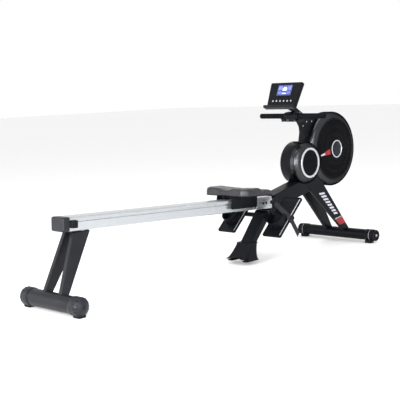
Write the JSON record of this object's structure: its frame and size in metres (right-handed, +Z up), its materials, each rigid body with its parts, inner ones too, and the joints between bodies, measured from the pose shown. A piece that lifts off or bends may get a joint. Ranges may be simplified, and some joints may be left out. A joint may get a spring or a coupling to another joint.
{
  "type": "rowing machine",
  "caption": "Folding rowing machine with an air fan, strap drum, pull handle, sliding seat on an aluminium rail, footplates and a tilting console.",
  "frame": {"origin": "on the floor, in the middle of the machine's length and width", "axes": "+X along the machine towards the fan, +Z up, -Y the near side with the fan's hub cap"},
  "size_m": [2.3855, 0.568, 0.978],
  "materials": {
    "black_paint": "satin powder coat",
    "black_plastic": "finely grained moulding",
    "gloss_black": "gloss moulding",
    "grey_plastic": "satin moulding",
    "rubber": "matte",
    "rail_aluminium": "brushed and anodised",
    "steel": "ground",
    "silver": "silver coated",
    "webbing": "woven",
    "seat_skin": "satin, fine grain"
  },
  "bodies": {
    "frame": {"main_beam": "black_paint", "front_leg_near": "black_paint", "front_leg_far": "black_paint", "front_foot_tube": "black_paint", "front_cap_near": "black_plastic", "front_cap_far": "black_plastic", "mid_leg": "black_paint", "mid_foot": "black_plastic", "pivot_bracket": "black_paint", "pivot_bolt": "black_plastic", "pedal_tube": "black_paint", "footplate_near": "black_plastic", "footplate_far": "black_plastic", "foot_strap_near": "webbing", "foot_strap_far": "webbing", "drum_cover_near": "gloss_black", "drum_cover_far": "black_plastic", "drum_ring": "silver", "fan_housing": "gloss_black", "fan_grille_near": "black_plastic", "fan_grille_far": "black_plastic", "fan_hub_cap": "silver", "mast": "black_plastic", "handle_rest": "grey_plastic", "fan_axle": "steel", "reel_axle": "steel", "drive_belt": "rubber"},
    "fan": {"fan_wheel": "black_plastic", "flywheel": "rail_aluminium"},
    "drive": {"drive_pulley": "grey_plastic"},
    "reel": {"strap_reel": "grey_plastic"},
    "rail": {"rail": "rail_aluminium", "rail_end_cap": "black_plastic", "seat_stop": "rubber", "rear_leg_near": "black_paint", "rear_leg_far": "black_paint", "rear_foot_tube": "black_paint", "rear_cap_near": "black_plastic", "rear_cap_far": "black_plastic"},
    "seat": {"seat_carriage": "black_paint", "seat_base": "black_plastic", "seat_pad": "seat_skin"},
    "roller_rear": {"seat_roller_rear": "grey_plastic"},
    "roller_front": {"seat_roller_front": "grey_plastic"},
    "handle": {"handle_bar": "black_plastic", "handle_grip_near": "rubber", "handle_grip_far": "rubber", "handle_strap": "webbing"},
    "console": {"console_case": "gloss_black"},
    "button_1": {"button_1": "silver"},
    "button_2": {"button_2": "silver"},
    "button_3": {"button_3": "silver"},
    "button_4": {"button_4": "silver"},
    "button_5": {"button_5": "silver"},
    "button_6": {"button_6": "silver"},
    "heel_near": {"heel_cup_near": "black_plastic"},
    "heel_far": {"heel_cup_far": "black_plastic"},
    "wheel_near": {"transport_wheel_near": "rubber"},
    "wheel_far": {"transport_wheel_far": "rubber"},
    "lock": {"lock_knob": "black_plastic"}
  },
  "joints": [
    {"name": "rail_fold", "type": "hinge", "parent": "frame", "child": "rail", "pos_m": [0.3448, 0, 0.318], "axis": [0, 1, 0], "range_deg": [0, 80]},
    {"name": "seat_slide", "type": "slide", "parent": "rail", "child": "seat", "axis": [0.9989, 0, -0.0471], "range_m": [-1.02, 0.05]},
    {"name": "roller_rear_spin", "type": "hinge", "parent": "seat", "child": "roller_rear", "pos_m": [0.04324, 0, 0.37687], "axis": [0, 1, 0], "continuous": true},
    {"name": "roller_front_spin", "type": "hinge", "parent": "seat", "child": "roller_front", "pos_m": [0.18708, 0, 0.37009], "axis": [0, 1, 0], "continuous": true},
    {"name": "handle_pull", "type": "slide", "parent": "frame", "child": "handle", "axis": [-1, 0, 0], "range_m": [0, 1]},
    {"name": "reel_turn", "type": "hinge", "parent": "frame", "child": "reel", "pos_m": [0.6828, 0, 0.51], "axis": [0, 1, 0], "range_deg": [0, 1275]},
    {"name": "fan_spin", "type": "hinge", "parent": "frame", "child": "fan", "pos_m": [0.9688, 0, 0.57], "axis": [0, 1, 0], "continuous": true},
    {"name": "drive_spin", "type": "hinge", "parent": "frame", "child": "drive", "pos_m": [0.6828, 0, 0.51], "axis": [0, 1, 0], "continuous": true},
    {"name": "console_tilt", "type": "hinge", "parent": "frame", "child": "console", "pos_m": [0.5592, 0, 0.849], "axis": [0, 1, 0], "range_deg": [-15, 25]},
    {"name": "button_1_press", "type": "slide", "parent": "console", "child": "button_1", "axis": [0.8988, 0, -0.4384], "range_m": [0, 0.0012], "stiffness_N_per_m": 400},
    {"name": "button_2_press", "type": "slide", "parent": "console", "child": "button_2", "axis": [0.8988, 0, -0.4384], "range_m": [0, 0.0012], "stiffness_N_per_m": 400},
    {"name": "button_3_press", "type": "slide", "parent": "console", "child": "button_3", "axis": [0.8988, 0, -0.4384], "range_m": [0, 0.0012], "stiffness_N_per_m": 400},
    {"name": "button_4_press", "type": "slide", "parent": "console", "child": "button_4", "axis": [0.8988, 0, -0.4384], "range_m": [0, 0.0012], "stiffness_N_per_m": 400},
    {"name": "button_5_press", "type": "slide", "parent": "console", "child": "button_5", "axis": [0.8988, 0, -0.4384], "range_m": [0, 0.0012], "stiffness_N_per_m": 400},
    {"name": "button_6_press", "type": "slide", "parent": "console", "child": "button_6", "axis": [0.8988, 0, -0.4384], "range_m": [0, 0.0012], "stiffness_N_per_m": 400},
    {"name": "heel_near_slide", "type": "slide", "parent": "frame", "child": "heel_near", "axis": [0.7385, 0, 0.6743], "range_m": [-0.035, 0]},
    {"name": "heel_far_slide", "type": "slide", "parent": "frame", "child": "heel_far", "axis": [0.7385, 0, 0.6743], "range_m": [-0.035, 0]},
    {"name": "wheel_near_spin", "type": "hinge", "parent": "frame", "child": "wheel_near", "pos_m": [1.0528, -0.2745, 0.0456], "axis": [0, 1, 0], "continuous": true},
    {"name": "wheel_far_spin", "type": "hinge", "parent": "frame", "child": "wheel_far", "pos_m": [1.0528, 0.2745, 0.0456], "axis": [0, 1, 0], "continuous": true},
    {"name": "lock_pull", "type": "slide", "parent": "frame", "child": "lock", "axis": [0, -1, 0], "range_m": [0, 0.01], "stiffness_N_per_m": 300}
  ],
  "couplings": [
    {"joint": "roller_rear_spin", "follows": "seat_slide", "rad_per_m": 82.6},
    {"joint": "roller_front_spin", "follows": "seat_slide", "rad_per_m": 82.6},
    {"joint": "reel_turn", "follows": "handle_pull", "rad_per_m": 22.22},
    {"joint": "drive_spin", "follows": "fan_spin", "ratio": 0.3333}
  ]
}
